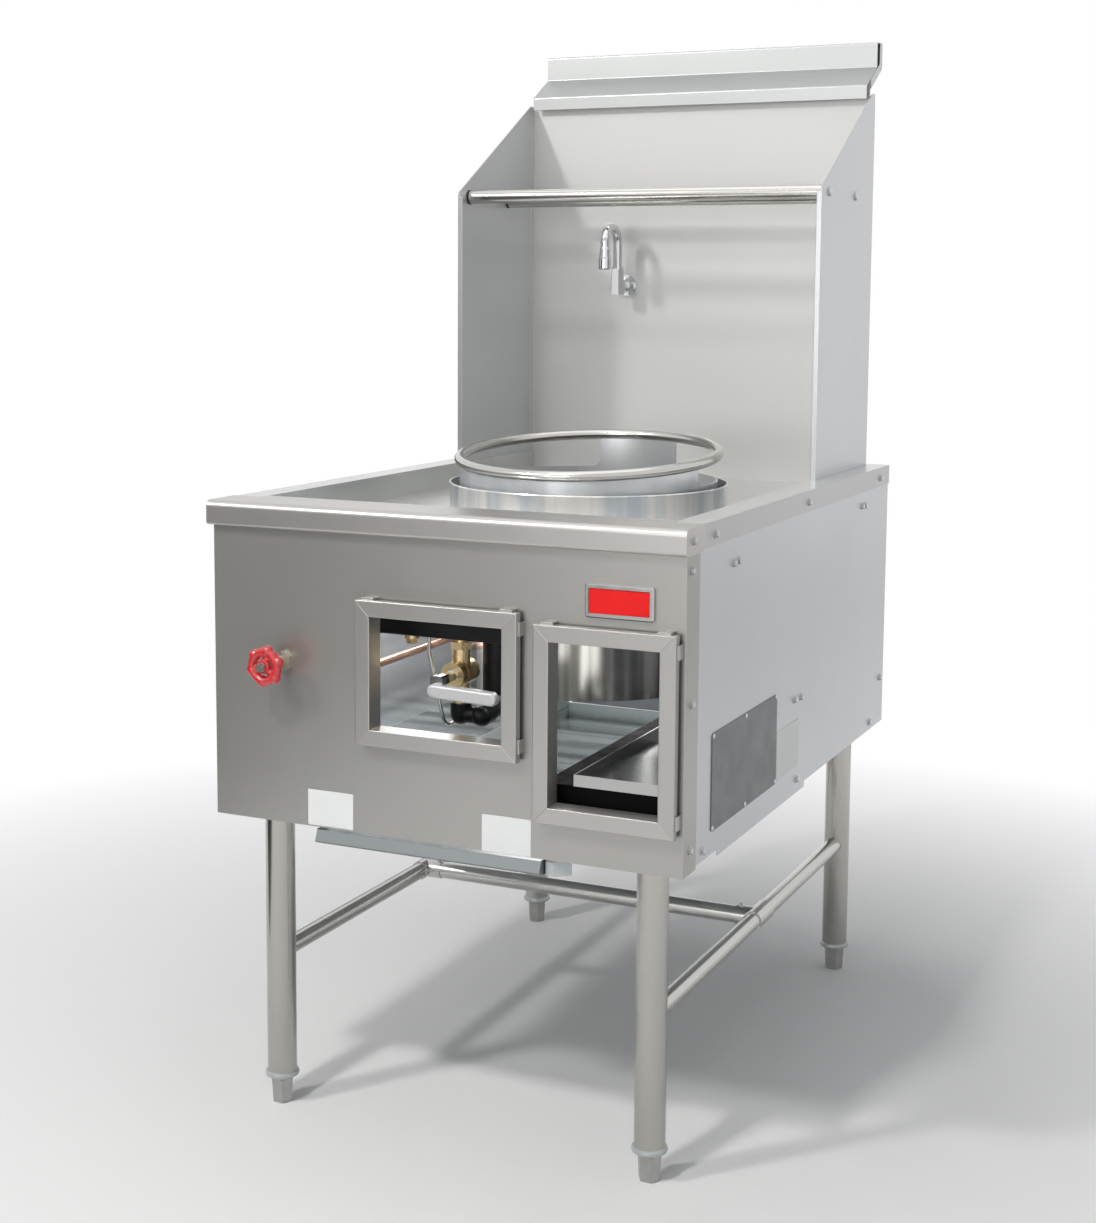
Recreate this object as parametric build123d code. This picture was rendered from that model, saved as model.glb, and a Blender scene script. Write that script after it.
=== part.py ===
from build123d import *
import os
from math import cos, degrees, radians, sin

# A free-standing wok range, in millimetres: a sheet-steel cabinet on four legs with one round wok
# chamber, gas and water fittings behind its front windows, and a tall splash guard.
#
# Every piece is drawn with x = 0 at the middle of the cabinet, y = 0 at the outer face of the
# front panel with +y towards the back, and z = 0 on the floor. save() then moves it back to front
# so that the origin is the middle of the whole object's footprint.

# ---- driving dimensions ----
SHEET = 1.5                    # thickness of every folded sheet
BEND = 2.25                    # bend radius on the middle of a sheet

# cabinet
HALF_WIDTH = 343.0
CABINET_BACK = 955.0
PANEL_BOTTOM = 427.0
PANEL_TOP = 829.0
SIDE_BOTTOM = 430.0
RIM_TOP = 862.0                # working height
RIM_DROP = 31.0                # the deck's side skirts
RECESS_HALF_WIDTH = 303.0
RECESS_FRONT = 72.0
RECESS_FLOOR = 827.0
NOSE_FRONT = -12.4             # the bull-nose stands out in front of the panel
NOSE_TOP = 862.5
NOSE_HALF_WIDTH = 346.0
NOSE_END_BACK = 55.0
RETURN_DEPTH = 45.0            # side returns of the front panel
FLOOR_TOP = 446.5              # top of the cabinet's two floor plates

# windows: x from, x to, z from, z to of the clear opening
LEFT_WINDOW = (-90.5, 101.0, 573.0, 723.0)
RIGHT_WINDOW = (166.5, 315.0, 500.0, 711.5)
FRAME_BORDER = 21.5
FRAME_FACE = -18.0
FRAME_RETURN = 12.0
JAMB_BACK = 12.0
MITRE_GROOVE = 0.35            # depth of the line where a frame's borders meet
BADGE = (210.0, 302.0, 745.0, 787.5)

# wok chamber
CHAMBER_Y = 488.0
DRUM_RADIUS = 204.5
DRUM_WALL = 2.0
DRUM_BOTTOM = 565.0
DRUM_TOP = 840.0               # hidden below the collar's lip
COLLAR_RADIUS = 210.0
COLLAR_TOP = 860.0
LINING_BOTTOM = 640.0
LINING_TOP = 833.0
SHELF_WIDTH = 18.0             # the flat ring under the lining
BURNER_BOTTOM = 590.0
BURNER_RADIUS = 90.0

# wok ring
HOOP_RADIUS = 195.9
HOOP_BAR = 8.0
HOOP_HEIGHT = 901.0
HOOP_TILT = 4.7                # degrees, higher at the back
SKIRT_RADIUS = 195.0
SKIRT_WALL = 2.0
SKIRT_BAND_TOP = 865.0
SKIRT_WINDOWS = ((-11.7, 68.0), (108.0, 191.7))    # degrees from +x towards +y
SKIRT_CORNER = 12.0

# splash guard
WING_FACE = 307.0
WING_FRONT = 650.0
WING_TIP = 1304.0
WING_TOP = 1467.0
WALL_FACE = 938.0
WALL_TOP = 1489.0
RETURN_TOP = 1450.0            # top of the wall's folded sides
GUARD_HALF_WIDTH = 298.0
GUARD_BACK = 1006.0
GUARD_TOP = 1556.0
RACK_HEIGHT = 1298.5
RACK_RADIUS = 11.1
RACK_DEPTHS = (690.0, 836.5)

# faucet
FAUCET = (-125.0, 894.0, 1156.0)
SPOUT_RADIUS = 7.6
SWAN_NECK = 28.0
SPOUT_TOP = 1258.0

# legs
LEG_X = 280.0
LEG_DEPTHS = {"front": 61.0, "back": 915.0}
LEG_RADIUS = 20.65
LEG_WALL = 1.6
LEG_TOP = 442.0
INSERT = (38.5, 47.0)          # the beaded insert under each leg, bottom and top
BRACE_HEIGHT = 220.0
BRACE_RADIUS = 12.7
CROSS_DEPTH = 487.0
SOCKET_STOP = 14.0             # the cross tube stops this far from the side tube's middle

# controls and fittings behind the panel
WHEEL_X, WHEEL_Z = -233.0, 650.0
WHEEL_MIDDLE = -45.0
WHEEL_NUT_FRONT = -58.0
WHEEL_TURN = 18.0              # degrees from +x to the middle of a lobe
VALVE_X, VALVE_Y, VALVE_Z = -21.0, 110.0, 633.0
LEVER_BACK = 38.0
PIPE_X, PIPE_Z = 10.0, 576.0
PIPE_RADIUS = 10.65
MANIFOLD = ((-230.0, 75.0), (90.0, 130.0), (680.0, 720.0))
GAS_INLET = (-255.0, 702.0)    # x and z of the run to the back
GAS_PIPE_RADIUS = 13.35
COPPER_RADIUS = 6.35
SUPPLY = (-220.0, 605.0)
FEED_BACK = 976.0

# drip tray and its guides
TRAY_X = (-181.0, 152.0)
TRAY_BACK = 830.0
TRAY_FLOOR = 406.0
TRAY_SHEET = 1.2
GUIDE_GAP = 1.5

FIT = 0.05                     # radial clearance of a running fit
CENTRE_DEPTH = (GUARD_BACK + WHEEL_NUT_FRONT) / 2


# ---- helpers ----
def slab(x, y, z):
    """A block between two limits along each axis."""
    size = [high - low for low, high in (x, y, z)]
    middle = [(low + high) / 2 for low, high in (x, y, z)]
    return Pos(*middle) * Box(*size)


def rod(start, end, radius, bore=0.0):
    """A round bar, or a tube where it has a bore, between two points."""
    run = Vector(*end) - Vector(*start)
    plane = Plane(origin=start, z_dir=run)
    section = plane * Circle(radius)
    if bore:
        section -= plane * Circle(bore)
    return extrude(section, run.length)


def hexagon(start, end, across_flats):
    """A six-sided bar between two points."""
    run = Vector(*end) - Vector(*start)
    plane = Plane(origin=start, z_dir=run)
    return extrude(plane * RegularPolygon(across_flats / 2, 6, major_radius=False), run.length)


def turned(points, centre=(0.0, 0.0)):
    """A round piece about an upright axis: points are (radius, height)."""
    outline = make_face(Plane.XZ * Polyline(*points, close=True))
    return Pos(centre[0], centre[1], 0) * revolve(outline, Axis.Z)


def folded(points, radii, half_width):
    """A folded sheet, straight across x: points are (y, z) on the middle of the sheet."""
    line = FilletPolyline(*points, radius=radii)
    section = Plane.YZ.offset(-half_width) * trace(line, SHEET)
    return extrude(section, 2 * half_width)


def cheek(points, x_from, x_to):
    """A flat sheet in the yz plane: points are (y, z)."""
    outline = Plane.YZ.offset(x_from) * make_face(Polyline(*points, close=True))
    return extrude(outline, x_to - x_from)


def pipe(points, radii, radius, bore=0.0):
    """A bent pipe: straight runs joined by tangent arcs."""
    path = FilletPolyline(*points, radius=radii)
    plane = Plane(origin=path @ 0, z_dir=path % 0)
    section = plane * Circle(radius)
    if bore:
        section -= plane * Circle(bore)
    return sweep(section, path)


def mirrored(piece):
    """The piece's twin on the other side of the cabinet."""
    return mirror(piece, about=Plane.YZ)


def both_sides(piece):
    return piece + mirrored(piece)


def pan(x, y, z, sheet=SHEET):
    """A folded cover or tray: a block hollowed from below."""
    inside = slab((x[0] + sheet, x[1] - sheet), (y[0] + sheet, y[1] - sheet), (z[0], z[1] - sheet))
    return slab(x, y, z) - inside


def save(name, shape):
    os.makedirs("parts", exist_ok=True)
    export_step(Pos(0, -CENTRE_DEPTH, 0) * shape, f"parts/{name}.step")


# ---- cabinet ----
def front_panel():
    """The front sheet: side returns, short top and bottom returns, window and stem holes."""
    height = (PANEL_BOTTOM, PANEL_TOP)
    panel = slab((-HALF_WIDTH, HALF_WIDTH), (0, SHEET), height)
    panel += both_sides(slab((HALF_WIDTH - SHEET, HALF_WIDTH), (0, RETURN_DEPTH), height))
    inner = HALF_WIDTH - 2 * SHEET - 4
    panel += slab((-inner, inner), (0, 20), (PANEL_TOP - SHEET, PANEL_TOP))
    panel += slab((-inner, inner), (0, 20), (PANEL_BOTTOM, PANEL_BOTTOM + SHEET))
    corners = panel.edges().filter_by(Axis.Z).group_by(Axis.Y)[0]
    panel = fillet(corners, 1.4)
    gap = SHEET + 1.0
    for x0, x1, z0, z1 in (LEFT_WINDOW, RIGHT_WINDOW):
        panel -= slab((x0 - gap, x1 + gap), (-1, 3), (z0 - gap, z1 + gap))
    return panel - rod((WHEEL_X, -1, WHEEL_Z), (WHEEL_X, 3, WHEEL_Z), 12.0)


def side_panel():
    """Right side: a flat sheet whose lower edge has a tab and whose front corner clears the rim."""
    outline = [
        (22, 858), (22, 828), (SHEET, 828), (SHEET, SIDE_BOTTOM), (130, SIDE_BOTTOM),
        (130, 421.5), (510, 421.5), (510, SIDE_BOTTOM),
        (CABINET_BACK - SHEET, SIDE_BOTTOM), (CABINET_BACK - SHEET, 858),
    ]
    outer = HALF_WIDTH - SHEET
    return cheek(outline, outer - SHEET, outer)


def back_panel():
    """The rear sheet, with a hole for each pipe that passes it."""
    half = HALF_WIDTH - 2 * SHEET
    back = CABINET_BACK - SHEET
    panel = slab((-half, half), (back - SHEET, back), (SIDE_BOTTOM, 858))
    holes = ((*GAS_INLET, GAS_PIPE_RADIUS), (*SUPPLY, COPPER_RADIUS), (WHEEL_X, WHEEL_Z, COPPER_RADIUS))
    for x, z, radius in holes:
        panel -= rod((x, back - 3, z), (x, back + 3, z), radius + 1.5)
    return panel


def deck():
    """The pressed top: a sunk floor with the chamber's hole, raised rims and outer skirts."""
    half = RECESS_HALF_WIDTH
    lip = RIM_TOP - SHEET
    under = RECESS_FLOOR - SHEET
    rim_front = NOSE_END_BACK + SHEET
    deep = (RECESS_FRONT - SHEET, WALL_FACE + 2 * SHEET)
    top = slab((-half, half), deep, (under, RECESS_FLOOR))
    top -= rod((0, CHAMBER_Y, under - 1), (0, CHAMBER_Y, RIM_TOP), DRUM_RADIUS + 2)
    side = slab((half, half + SHEET), deep, (under, RIM_TOP))
    side += slab((half, HALF_WIDTH), (rim_front, CABINET_BACK), (lip, RIM_TOP))
    side += slab((HALF_WIDTH - SHEET, HALF_WIDTH), (rim_front, CABINET_BACK), (RIM_TOP - RIM_DROP, RIM_TOP))
    top += both_sides(side)
    wall = half + SHEET
    top += slab((-wall, wall), (RECESS_FRONT - SHEET, RECESS_FRONT), (under, lip + 0.5))
    top += slab((-wall, wall), (SHEET, RECESS_FRONT), (lip - 1.0, lip + 0.5))
    top += slab((-wall, wall), (WALL_FACE + SHEET, WALL_FACE + 2 * SHEET), (under, RIM_TOP))
    top += slab((-HALF_WIDTH, HALF_WIDTH), (WALL_FACE + SHEET, CABINET_BACK), (lip, RIM_TOP))
    skirt = RIM_TOP - RIM_DROP, RIM_TOP
    top += slab((-HALF_WIDTH, HALF_WIDTH), (CABINET_BACK - SHEET, CABINET_BACK), skirt)
    return top


def front_rim():
    """The bull-nose: a rolled front edge whose ends wrap round the cabinet's corners."""
    middle = SHEET / 2
    points = [
        (20, PANEL_TOP + middle), (NOSE_FRONT + middle, PANEL_TOP + middle),
        (NOSE_FRONT + middle, NOSE_TOP - middle), (RECESS_FRONT, NOSE_TOP - middle),
    ]
    end = NOSE_HALF_WIDTH - SHEET
    rim = folded(points, [4, 8], end)
    rim -= both_sides(slab((RECESS_HALF_WIDTH, NOSE_HALF_WIDTH), (NOSE_END_BACK, 80), (855, 870)))
    cap = slab((end, NOSE_HALF_WIDTH), (NOSE_FRONT, NOSE_END_BACK), (PANEL_TOP, NOSE_TOP))
    front = cap.edges().filter_by(Axis.X).group_by(Axis.Y)[0].sort_by(Axis.Z)
    cap = fillet(front[1], 8 + middle)
    front = cap.edges().filter_by(Axis.X).group_by(Axis.Y)[0].sort_by(Axis.Z)
    cap = fillet(front[0], 4 + middle)
    rear = cap.edges().filter_by(Axis.X).group_by(Axis.Y)[-1].sort_by(Axis.Z)
    cap = fillet(rear[0], 12)
    return rim + both_sides(cap)


def window_frame(window):
    """A mitred frame of folded sheet: face, outer return, jambs through the panel, clips."""
    x0, x1, z0, z1 = window

    def ring(grow, thickness, y):
        outer = slab((x0 - grow, x1 + grow), y, (z0 - grow, z1 + grow))
        less = grow - thickness
        return outer - slab((x0 - less, x1 + less), y, (z0 - less, z1 + less))

    frame = ring(FRAME_BORDER, FRAME_BORDER, (FRAME_FACE, FRAME_FACE + SHEET))
    frame += ring(FRAME_BORDER, SHEET, (FRAME_FACE, FRAME_FACE + FRAME_RETURN))
    frame += ring(SHEET, SHEET, (FRAME_FACE, JAMB_BACK))
    frame = fillet(frame.edges().group_by(Axis.Y)[0], 1.2)
    top, right = z1 + FRAME_BORDER, x1 + FRAME_BORDER
    left = x0 - FRAME_BORDER
    for x in (left + 8, right - 26):
        frame += slab((x, x + 18), (-14, 0), (top, top + 3))
    for z in (top - 30, z0 - FRAME_BORDER + 12):
        frame += slab((right, right + 3), (-14, 0), (z, z + 18))
    for x, side in ((x0, -1), (x1, 1)):
        for z, level in ((z0, -1), (z1, 1)):
            corner = (x + side * FRAME_BORDER, FRAME_FACE, z + level * FRAME_BORDER)
            frame -= rod((x, FRAME_FACE, z), corner, MITRE_GROOVE)
    return frame


def badge():
    """A raised surround with a sunk plain field."""
    x0, x1, z0, z1 = BADGE
    bezel = slab((x0, x1), (-6, 0), (z0, z1))
    bezel = fillet(bezel.edges().filter_by(Axis.Y), 3)
    bezel = chamfer(bezel.faces().sort_by(Axis.Y)[0].edges(), 1.5)
    return bezel - slab((x0 + 5, x1 - 5), (-7, -3.5), (z0 + 5, z1 - 5))


def side_plate():
    """The bare plate riveted to the right side."""
    face = HALF_WIDTH - SHEET
    plate = slab((face, face + 1.2), (101.5, 369), (459.5, 588))
    return fillet(plate.edges().filter_by(Axis.X), 6)


def floor_plates():
    """The cabinet's floor: a plate each side of the drip tray, hung from the side panels."""
    outer = HALF_WIDTH - 2 * SHEET
    depth = (SHEET, CABINET_BACK - 2 * SHEET)
    low = FLOOR_TOP - SHEET
    right = slab((TRAY_X[1] + 2 * GUIDE_GAP, outer), depth, (low, FLOOR_TOP))
    left = slab((-outer, TRAY_X[0] - 2 * GUIDE_GAP), depth, (low, FLOOR_TOP))
    returns = both_sides(slab((outer - SHEET, outer), depth, (432, low)))
    return right + left + returns


def washer_head(face, y, z):
    """A hexagon head on its own washer, on a side that faces +x."""
    washer = rod((face, y, z), (face + 1.0, y, z), 6.0)
    head = hexagon((face + 1.0, y, z), (face + 4.2, y, z), 8)
    return washer + chamfer(head.faces().sort_by(Axis.X)[-1].edges(), 0.8)


def panel_screws():
    """Hexagon-head screws of both side panels, of the bull-nose's ends and of the deck's skirts."""
    on_panel = [
        (16, 809), (176, 798), (194, 799), (795, 809), (813, 808), (22, 642), (455, 563),
        (486, 561), (872, 443), (931, 507), (471, 442), (22, 457), (72, 443),
    ]
    on_skirt = [(100, 845), (500, 845), (899, 845)]
    heads = []
    for y, z in on_panel:
        covered = y < RETURN_DEPTH
        face = HALF_WIDTH if covered else HALF_WIDTH - SHEET
        heads.append((face, y, z))
    heads += [(HALF_WIDTH, y, z) for y, z in on_skirt]
    heads.append((NOSE_HALF_WIDTH, 13, 846.5))
    screws = [washer_head(*head) for head in heads]
    return Compound(children=[*screws, *[mirrored(screw) for screw in screws]])


# ---- wok chamber ----
def collar():
    """The round wall on the deck: a foot that grips the drum, and a small rolled lip."""
    r = COLLAR_RADIUS
    foot = RECESS_FLOOR + SHEET
    outline = [
        (DRUM_RADIUS, RECESS_FLOOR), (r, RECESS_FLOOR), (r, COLLAR_TOP - 2), (r + 0.8, COLLAR_TOP - 1),
        (r + 0.4, COLLAR_TOP), (r - SHEET, COLLAR_TOP), (r - SHEET, foot), (DRUM_RADIUS, foot),
    ]
    return turned(outline, (0, CHAMBER_Y))


def chamber_drum():
    """The drum: an open tube through the deck, with a notch for the burner's pipe."""
    r, inner = DRUM_RADIUS, DRUM_RADIUS - DRUM_WALL
    drum = rod((0, CHAMBER_Y, DRUM_BOTTOM), (0, CHAMBER_Y, DRUM_TOP), r, inner)
    front = (CHAMBER_Y - r - 5, CHAMBER_Y - r + 10)
    notch = slab((PIPE_X - 16, PIPE_X + 16), front, (DRUM_BOTTOM - 5, PIPE_Z))
    notch += rod((PIPE_X, front[0], PIPE_Z), (PIPE_X, front[1], PIPE_Z), 16)
    return drum - notch


def chamber_lining():
    """The cast lining: a funnel inside, and a flat top that the wok ring stands on."""
    outer = DRUM_RADIUS - DRUM_WALL - 0.3
    return turned(
        [(150, LINING_BOTTOM), (outer, LINING_BOTTOM), (outer, LINING_TOP), (176, LINING_TOP),
         (170, LINING_TOP - 6)], (0, CHAMBER_Y))


def burner_body():
    """The cast burner: a round gas box with two raised rings that carry the jets."""
    r, low = BURNER_RADIUS, BURNER_BOTTOM
    return turned(
        [(0, low), (r - 6, low), (r, low + 5), (r, low + 24), (r - 6, low + 30), (r - 24, low + 30),
         (r - 30, low + 22), (52, low + 22), (46, low + 30), (30, low + 30), (24, low + 22),
         (12, low + 22), (9, low + 30), (0, low + 30)], (0, CHAMBER_Y))


def burner_jets():
    """Brass jets in two rings round one in the middle."""
    foot = BURNER_BOTTOM + 30
    places = [(0, 0)]
    for count, radius in ((6, 38), (16, 75)):
        turns = [radians(360 * i / count) for i in range(count)]
        places += [(radius * cos(turn), radius * sin(turn)) for turn in turns]
    jet = turned([(1.5, foot), (6, foot), (6, foot + 8), (3.5, foot + 18), (1.5, foot + 18)])
    return Compound(children=[Pos(x, y + CHAMBER_Y, 0) * jet for x, y in places])


def drum_shelves():
    """Welded inside the drum: two flat bars under the burner and a flat ring under the lining."""
    inner = DRUM_RADIUS - DRUM_WALL
    ring = rod((0, CHAMBER_Y, LINING_BOTTOM - 3), (0, CHAMBER_Y, LINING_BOTTOM), inner, inner - SHELF_WIDTH)
    drum = rod((0, CHAMBER_Y, BURNER_BOTTOM - 5), (0, CHAMBER_Y, BURNER_BOTTOM), inner)
    height = (BURNER_BOTTOM - 3, BURNER_BOTTOM)
    bars = [
        slab((-inner, inner), (CHAMBER_Y + side * 58 - 10, CHAMBER_Y + side * 58 + 10), height)
        for side in (-1, 1)
    ]
    return Compound(children=[ring, *[bar & drum for bar in bars]])


def ring_hoop():
    """The round bar that carries the wok, tilted to shed water forwards."""
    return Pos(0, CHAMBER_Y + 2, HOOP_HEIGHT) * Rot(HOOP_TILT, 0, 0) * Torus(HOOP_RADIUS, HOOP_BAR)


def sector(inner, outer, z, angles):
    """Part of a round wall between two angles, in degrees from +x."""
    middle = Pos((inner + outer) / 2, (z[0] + z[1]) / 2)
    section = Plane.XZ * (middle * Rectangle(outer - inner, z[1] - z[0]))
    part = revolve(section, Axis.Z, revolution_arc=angles[1] - angles[0])
    return Pos(0, CHAMBER_Y, 0) * Rot(0, 0, angles[0]) * part


def ring_skirt():
    """The rolled wall under the hoop, with two wide windows that let the wok be tossed low."""
    r = SKIRT_RADIUS
    wall = rod((0, CHAMBER_Y, LINING_TOP), (0, CHAMBER_Y, 940), r, r - SKIRT_WALL)
    corner = degrees(SKIRT_CORNER / r)
    for low, high in SKIRT_WINDOWS:
        z = (SKIRT_BAND_TOP, 960)
        wall -= sector(r - 10, r + 10, (z[0] + SKIRT_CORNER, z[1]), (low, high))
        wall -= sector(r - 10, r + 10, z, (low + corner, high - corner))
        for angle in (low + corner, high - corner):
            way = Vector(1, 0, 0).rotate(Axis.Z, angle)
            middle = Vector(0, CHAMBER_Y, SKIRT_BAND_TOP + SKIRT_CORNER)
            wall -= rod(tuple(middle + way * (r - 10)), tuple(middle + way * (r + 10)), SKIRT_CORNER)
    tilt = Pos(0, CHAMBER_Y + 2, HOOP_HEIGHT) * Rot(HOOP_TILT, 0, 0)
    above = tilt * (Pos(0, 0, 50 - 2) * Box(500, 500, 100))
    return wall - above - ring_hoop()


# ---- gas train ----
def gas_manifold():
    """A closed square tube."""
    x, y, z = MANIFOLD
    tube = slab(x, y, z)
    tube = fillet(tube.edges().filter_by(Axis.X), 4)
    return tube - slab((x[0] + 2, x[1] - 2), (y[0] + 2, y[1] - 2), (z[0] + 2, z[1] - 2))


def manifold_hangers():
    """Two folded straps from the panel's back to the manifold's top."""
    def hanger(x):
        width = (x - 9, x + 9)
        strap = slab(width, (SHEET, 3 * SHEET), (727, 752))
        strap += slab(width, (SHEET, 112), (727, 729))
        return strap + slab(width, (110, 112), (MANIFOLD[2][1], 729))
    return Compound(children=[hanger(-190), hanger(50)])


def manifold_plug():
    """A brass plug screwed into the manifold's underside."""
    x, low = -97.0, MANIFOLD[2][0]
    return rod((x, VALVE_Y, low - 6), (x, VALVE_Y, low), 10.5) + hexagon(
        (x, VALVE_Y, low - 13), (x, VALVE_Y, low - 6), 15)


def gas_valve_body():
    """The brass plug valve: union nut, neck, grooved cross barrel, outlet."""
    def up(low, high, radius):
        return rod((VALVE_X, VALVE_Y, low), (VALVE_X, VALVE_Y, high), radius)

    def along(front, back, radius):
        return rod((VALVE_X, front, VALVE_Z), (VALVE_X, back, VALVE_Z), radius)

    body = hexagon((VALVE_X, VALVE_Y, 666), (VALVE_X, VALVE_Y, 676), 27)
    body += up(676, MANIFOLD[2][0], 10)
    body += up(640, 666, 12.5)
    for front, back, radius in ((83, 96, 17.5), (96, 100, 14.5), (100, 106, 18.5), (106, 132, 17.0)):
        body += along(front, back, radius)
    rear = Plane(origin=(VALVE_X, 132, VALVE_Z), z_dir=(0, 1, 0))
    body += rear * (Pos(0, 0, 4) * Cone(17, 11, 8))
    body += up(592, 625, 11)
    body += up(596, 603, 13.5)
    return body - along(82, 100, 8 + FIT)


def gas_stem():
    """The valve's chromed stem: round in the valve, square in front, with a head for the lever."""
    half = 6.5
    square = (VALVE_X - half, VALVE_X + half), (44, 80), (VALVE_Z - half, VALVE_Z + half)
    shank = slab(*square)
    shank = chamfer(shank.edges().filter_by(Axis.Y), 1.5)
    head = slab((VALVE_X - 9, VALVE_X + 9), (LEVER_BACK, 46), (616, 641))
    head = fillet(head.edges().filter_by(Axis.Y), 4)
    return shank + head + rod((VALVE_X, 80, VALVE_Z), (VALVE_X, 97, VALVE_Z), 8)


def gas_lever():
    """A long rounded handle on the front of the stem's head."""
    plane = Plane.XZ.offset(-LEVER_BACK)
    lever = extrude(plane * (Pos(20.2, 620.5) * SlotCenterToCenter(84, 18.5, rotation=-2)), 10)
    return fillet(lever.edges().group_by(Axis.Y)[0], 4)


def valve_elbows():
    """Black iron elbows that take the gas from the valve to the burner pipe."""
    top = BURNER_BOTTOM + 2
    elbow = rod((VALVE_X, VALVE_Y, PIPE_Z), (VALVE_X, VALVE_Y, top), 14.5)
    elbow += Pos(VALVE_X, VALVE_Y, PIPE_Z) * Sphere(14.5)
    elbow += rod((VALVE_X, VALVE_Y, PIPE_Z), (PIPE_X, VALVE_Y, PIPE_Z), 11.5)
    elbow += Pos(PIPE_X, VALVE_Y, PIPE_Z) * Sphere(14.5)
    elbow += rod((PIPE_X, VALVE_Y, PIPE_Z), (PIPE_X, VALVE_Y + 18, PIPE_Z), 14.5)
    return elbow


def burner_pipe():
    """The pipe under the drum, and the elbow that turns up into the burner."""
    start, end = VALVE_Y + 18, CHAMBER_Y - 10
    run = rod((PIPE_X, start, PIPE_Z), (PIPE_X, end, PIPE_Z), PIPE_RADIUS)
    run += Pos(PIPE_X, end, PIPE_Z) * Sphere(14)
    return run + rod((PIPE_X, end, PIPE_Z), (PIPE_X, end, BURNER_BOTTOM), 14)


def pilot_safety_valve():
    """A black cylinder that shuts the pilot's gas when its flame is out."""
    x, y = 14.0, 154.0
    can = rod((x, y, 600), (x, y, 700), 22)
    can = fillet(can.edges(), 3)
    nipple = rod((x, MANIFOLD[1][1], 690), (x, y, 690), 7)
    return can + nipple


def pilot_tube():
    """Thin tube from the manifold, under the drum's edge, to a nozzle at the burner's side."""
    x, y = -46.0, 395.0
    tube = pipe(
        [(-70, VALVE_Y, MANIFOLD[2][0]), (-70, VALVE_Y, 655), (x, VALVE_Y, 556), (x, 320, 556),
         (x, y, 604)], [30, 15, 25], 2.4)
    return tube + rod((x, y, 603), (x, y, 616), 6) + rod((x, y, 616), (x, y, 632), 4)


def gas_inlet_pipe():
    """From the manifold's end to a hexagon collar and a male end behind the cabinet."""
    x, z = GAS_INLET
    run = pipe([(MANIFOLD[0][0], VALVE_Y, z), (x, VALVE_Y, z), (x, 980, z)], [20], GAS_PIPE_RADIUS)
    run += hexagon((x, 974, z), (x, 984, z), 34)
    run += rod((x, 984, z), (x, 1002, z), GAS_PIPE_RADIUS)
    return run - rod((x, 140, z), (x, 1003, z), GAS_PIPE_RADIUS - 2.8)


# ---- water train ----
def water_valve():
    """The brass valve: body and ports behind the panel, bonnet and nuts through and before it."""
    body = rod((WHEEL_X, -22, WHEEL_Z), (WHEEL_X, 60, WHEEL_Z), 7.5)
    body += rod((WHEEL_X, 8, WHEEL_Z), (WHEEL_X, 60, WHEEL_Z), 14)
    body += hexagon((WHEEL_X, SHEET, WHEEL_Z), (WHEEL_X, 8, WHEEL_Z), 30)
    body += rod((WHEEL_X, 45, 628), (WHEEL_X, 45, WHEEL_Z), 9.5)
    body += hexagon((WHEEL_X, -7, WHEEL_Z), (WHEEL_X, 0, WHEEL_Z), 24)
    body += hexagon((WHEEL_X, -26, WHEEL_Z), (WHEEL_X, -17, WHEEL_Z), 17)
    return body - rod((WHEEL_X, -27, WHEEL_Z), (WHEEL_X, 12, WHEEL_Z), 5 + FIT)


def water_stem():
    """The stem that the handwheel turns, with the nut in front of the wheel."""
    stem = rod((WHEEL_X, -52, WHEEL_Z), (WHEEL_X, 8, WHEEL_Z), 5)
    return stem + hexagon((WHEEL_X, WHEEL_NUT_FRONT, WHEEL_Z), (WHEEL_X, -52, WHEEL_Z), 12)


def handwheel():
    """Six knobbed lobes on a round rim, three spokes between kidney openings, and a hub."""
    plane = Plane.XZ.offset(-WHEEL_MIDDLE - 6)
    outline = Circle(22.5)
    for lobe in range(6):
        outline += Rot(0, 0, WHEEL_TURN + 60 * lobe) * Pos(21.5, 0) * Circle(8.5)
    wheel = extrude(plane * (Pos(WHEEL_X, WHEEL_Z) * outline), 12)
    wheel = fillet(wheel.edges().group_by(Axis.Y)[0], 3)
    wheel = fillet(wheel.edges().group_by(Axis.Y)[-1], 3)
    for opening in range(3):
        kidney = Rot(0, 0, WHEEL_TURN + 120 * opening) * SlotArc(CenterArc((0, 0), 14.2, -24, 48), 7)
        wheel -= extrude(plane * (Pos(WHEEL_X, WHEEL_Z) * kidney), 12)
    front = WHEEL_MIDDLE - 6
    wheel += rod((WHEEL_X, front - 1, WHEEL_Z), (WHEEL_X, front + 14, WHEEL_Z), 8.5)
    return wheel - rod((WHEEL_X, -60, WHEEL_Z), (WHEEL_X, -30, WHEEL_Z), 5)


def water_supply_pipe():
    """Copper from a threaded tail behind the cabinet to the valve's inlet."""
    x, z = SUPPLY
    run = pipe(
        [(WHEEL_X, 45, 628), (WHEEL_X, 45, z), (x, 120, z), (x, 975, z)], [20, 60], COPPER_RADIUS)
    tail = rod((x, 975, z), (x, 995, z), 10.4) + hexagon((x, 975, z), (x, 981, z), 26)
    return run + tail - rod((x, 978, z), (x, 996, z), 7)


def water_feed_pipe():
    """Copper from the valve, out through the back and up behind the splash wall to the faucet."""
    x, _, z = FAUCET
    return pipe(
        [(WHEEL_X, 60, WHEEL_Z), (WHEEL_X, FEED_BACK, WHEEL_Z), (x, FEED_BACK, WHEEL_Z),
         (x, FEED_BACK, z), (x, 948, z)], [20, 20, 17], COPPER_RADIUS)


# ---- service box, tray and guides ----
def service_box():
    box = pan((142, 335), (22, 430), (FLOOR_TOP, 521.5))
    return fillet(box.edges().filter_by(Axis.Z).group_by(Axis.Y)[0], 1.2)


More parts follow.
